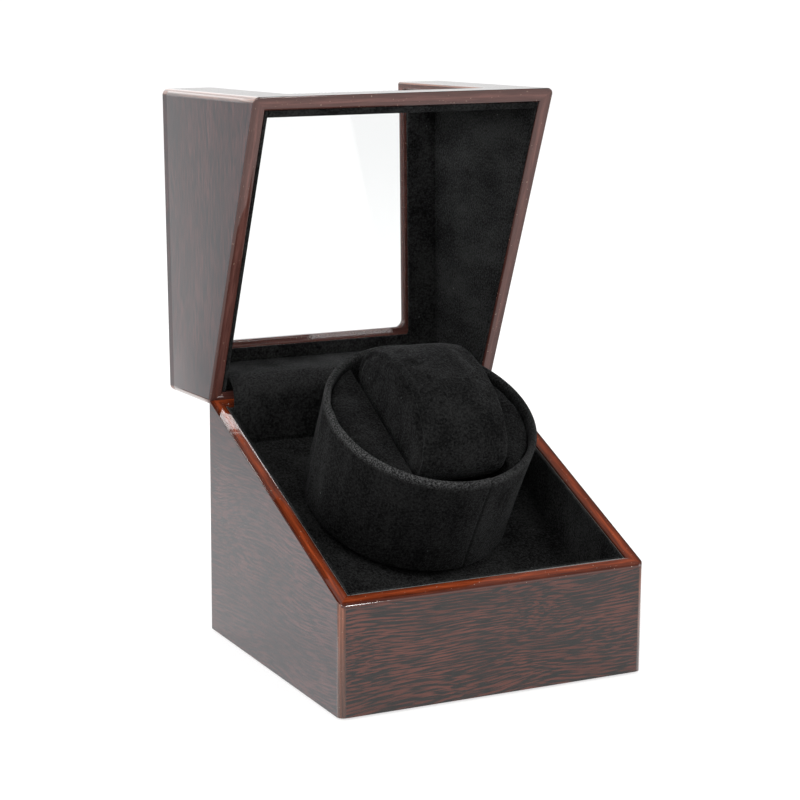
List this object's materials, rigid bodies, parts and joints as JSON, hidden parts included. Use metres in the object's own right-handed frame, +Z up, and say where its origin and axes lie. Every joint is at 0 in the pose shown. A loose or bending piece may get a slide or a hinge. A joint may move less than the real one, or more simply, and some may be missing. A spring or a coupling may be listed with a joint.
{
  "type": "watch winder box",
  "caption": "Hinged wooden box, split on a slope, with a windowed lid and a velvet drum on a tilted deck that a belt and gear drive turns to wind a wrist watch on its cushion.",
  "frame": {"origin": "centre of the underside, on the surface that the box stands on", "axes": "+Z up, +X towards the box's right seen from the front, -Y out of the front"},
  "size_m": [0.12, 0.159, 0.2046],
  "materials": {
    "veneer": "gloss",
    "plywood": "matte",
    "velvet": "velvet pile",
    "felt": "felt",
    "acrylic": "clear",
    "brass": "polished",
    "steel": "brushed",
    "plate_plastic": "moulded",
    "gear_plastic": "moulded",
    "black_plastic": "moulded",
    "belt_rubber": "matte",
    "circuit_board": "satin"
  },
  "bodies": {
    "base": {"base_front_panel": "veneer", "base_rear_panel": "veneer", "base_left_panel": "veneer", "base_right_panel": "veneer", "base_bottom_board": "plywood", "base_felt": "felt", "base_front_lining": "velvet", "base_rear_lining": "velvet", "base_left_lining": "velvet", "base_right_lining": "velvet", "deck_board": "velvet", "deck_cleats": "plywood", "hinge_base_leaf_left": "brass", "hinge_base_leaf_right": "brass", "hinge_pins": "brass", "hinge_base_screws": "brass", "hinge_flap": "velvet", "output_bushes": "brass", "drive_belt": "belt_rubber", "motor_can": "steel", "motor_screws": "steel", "gear_top_plate": "plate_plastic", "gear_bottom_plate": "plate_plastic", "plate_screws": "steel", "deck_screws": "steel", "control_board": "circuit_board", "dc_jack": "black_plastic", "mode_switch": "steel", "rocker_housing": "black_plastic"},
    "lid": {"lid_front_panel": "veneer", "lid_rear_panel": "veneer", "lid_left_panel": "veneer", "lid_right_panel": "veneer", "lid_top_panel": "veneer", "window_pane": "acrylic", "lid_front_lining": "velvet", "lid_rear_lining": "velvet", "lid_left_lining": "velvet", "lid_right_lining": "velvet", "lid_top_lining": "velvet", "hinge_lid_leaf_left": "brass", "hinge_lid_leaf_right": "brass", "hinge_lid_screws": "brass"},
    "drum": {"drum_shell": "velvet", "drum_insert_left": "velvet", "drum_insert_right": "velvet", "slot_floor": "velvet", "drum_hub": "plate_plastic", "hub_screws": "steel", "output_shaft": "steel", "output_gear": "gear_plastic"},
    "cushion": {"watch_cushion": "velvet"},
    "mid_wheel": {"mid_shaft": "steel", "mid_gear": "gear_plastic"},
    "pinion_wheel": {"pinion_shaft": "steel", "belt_pulley": "gear_plastic"},
    "motor_rotor": {"motor_shaft": "steel", "motor_pulley": "brass"},
    "knob": {"mode_knob": "black_plastic"},
    "rocker": {"power_rocker": "black_plastic"}
  },
  "joints": [
    {"name": "lid_hinge", "type": "hinge", "parent": "base", "child": "lid", "pos_m": [0, 0.056, 0.089], "axis": [-1, 0, 0], "range_deg": [-92, 0], "deforming": ["hinge_flap"]},
    {"name": "drum_spin", "type": "hinge", "parent": "base", "child": "drum", "pos_m": [0, 0.01425, 0.0516], "axis": [0, -0.4848, 0.8746], "continuous": true},
    {"name": "cushion_slide", "type": "slide", "parent": "drum", "child": "cushion", "axis": [0, -0.4848, 0.8746], "range_m": [0, 0.045]},
    {"name": "mid_spin", "type": "hinge", "parent": "base", "child": "mid_wheel", "pos_m": [-0.01691, 0.01759, 0.03287], "axis": [0, -0.4848, 0.8746], "continuous": true},
    {"name": "pinion_spin", "type": "hinge", "parent": "base", "child": "pinion_wheel", "pos_m": [-0.02307, 0.0028, 0.02467], "axis": [0, -0.4848, 0.8746], "continuous": true},
    {"name": "motor_spin", "type": "hinge", "parent": "base", "child": "motor_rotor", "pos_m": [0.022, 0.00548, 0.02616], "axis": [0, -0.4848, 0.8746], "continuous": true},
    {"name": "mode_knob_turn", "type": "hinge", "parent": "base", "child": "knob", "pos_m": [0, 0.058, 0.022], "axis": [0, -1, 0], "range_deg": [0, 150]},
    {"name": "rocker_tilt", "type": "hinge", "parent": "base", "child": "rocker", "pos_m": [0.032, 0.058, 0.022], "axis": [0, 0, 1], "range_deg": [-16, 0]}
  ],
  "couplings": [
    {"joint": "mid_spin", "follows": "drum_spin", "ratio": -4},
    {"joint": "pinion_spin", "follows": "drum_spin", "ratio": 16},
    {"joint": "motor_spin", "follows": "drum_spin", "ratio": 80}
  ]
}
